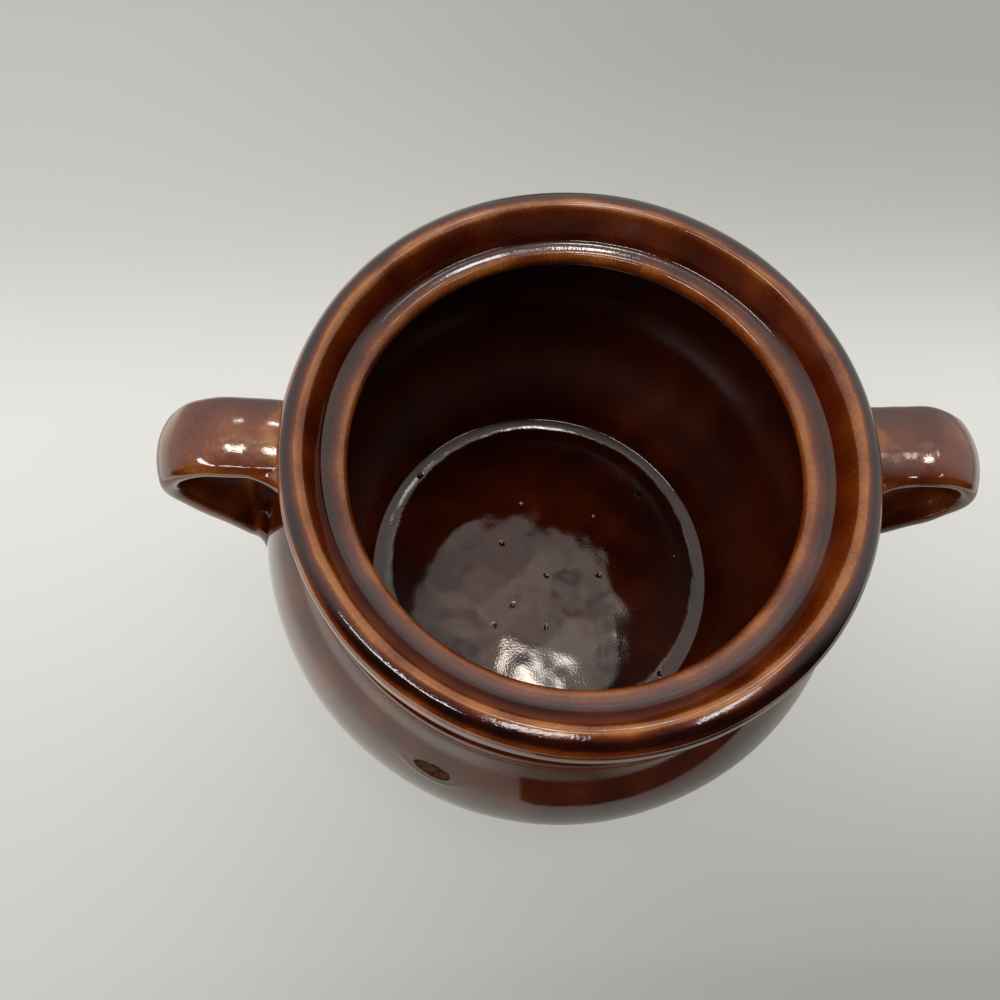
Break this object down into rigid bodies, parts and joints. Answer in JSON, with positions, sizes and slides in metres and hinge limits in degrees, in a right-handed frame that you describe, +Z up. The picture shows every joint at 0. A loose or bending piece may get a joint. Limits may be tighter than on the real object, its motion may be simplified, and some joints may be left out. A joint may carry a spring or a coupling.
{
  "type": "bean pot",
  "caption": "Round-bellied stoneware bean pot in brown glaze, with a lid seat inside a rolled rim and strap handles from neck to belly; shown open, without its lid.",
  "frame": {"origin": "on the pot's axis, at the level of the foot that it stands on", "axes": "+Z up along the pot's axis, +X from the left handle to the right handle, +Y from the front of the pot to its back"},
  "size_m": [0.2272, 0.1768, 0.126],
  "materials": {
    "body_glaze": "gloss",
    "handle_glaze": "gloss"
  },
  "bodies": {
    "root": {"pot_body": "body_glaze", "left_handle": "handle_glaze", "right_handle": "handle_glaze"}
  },
  "joints": []
}
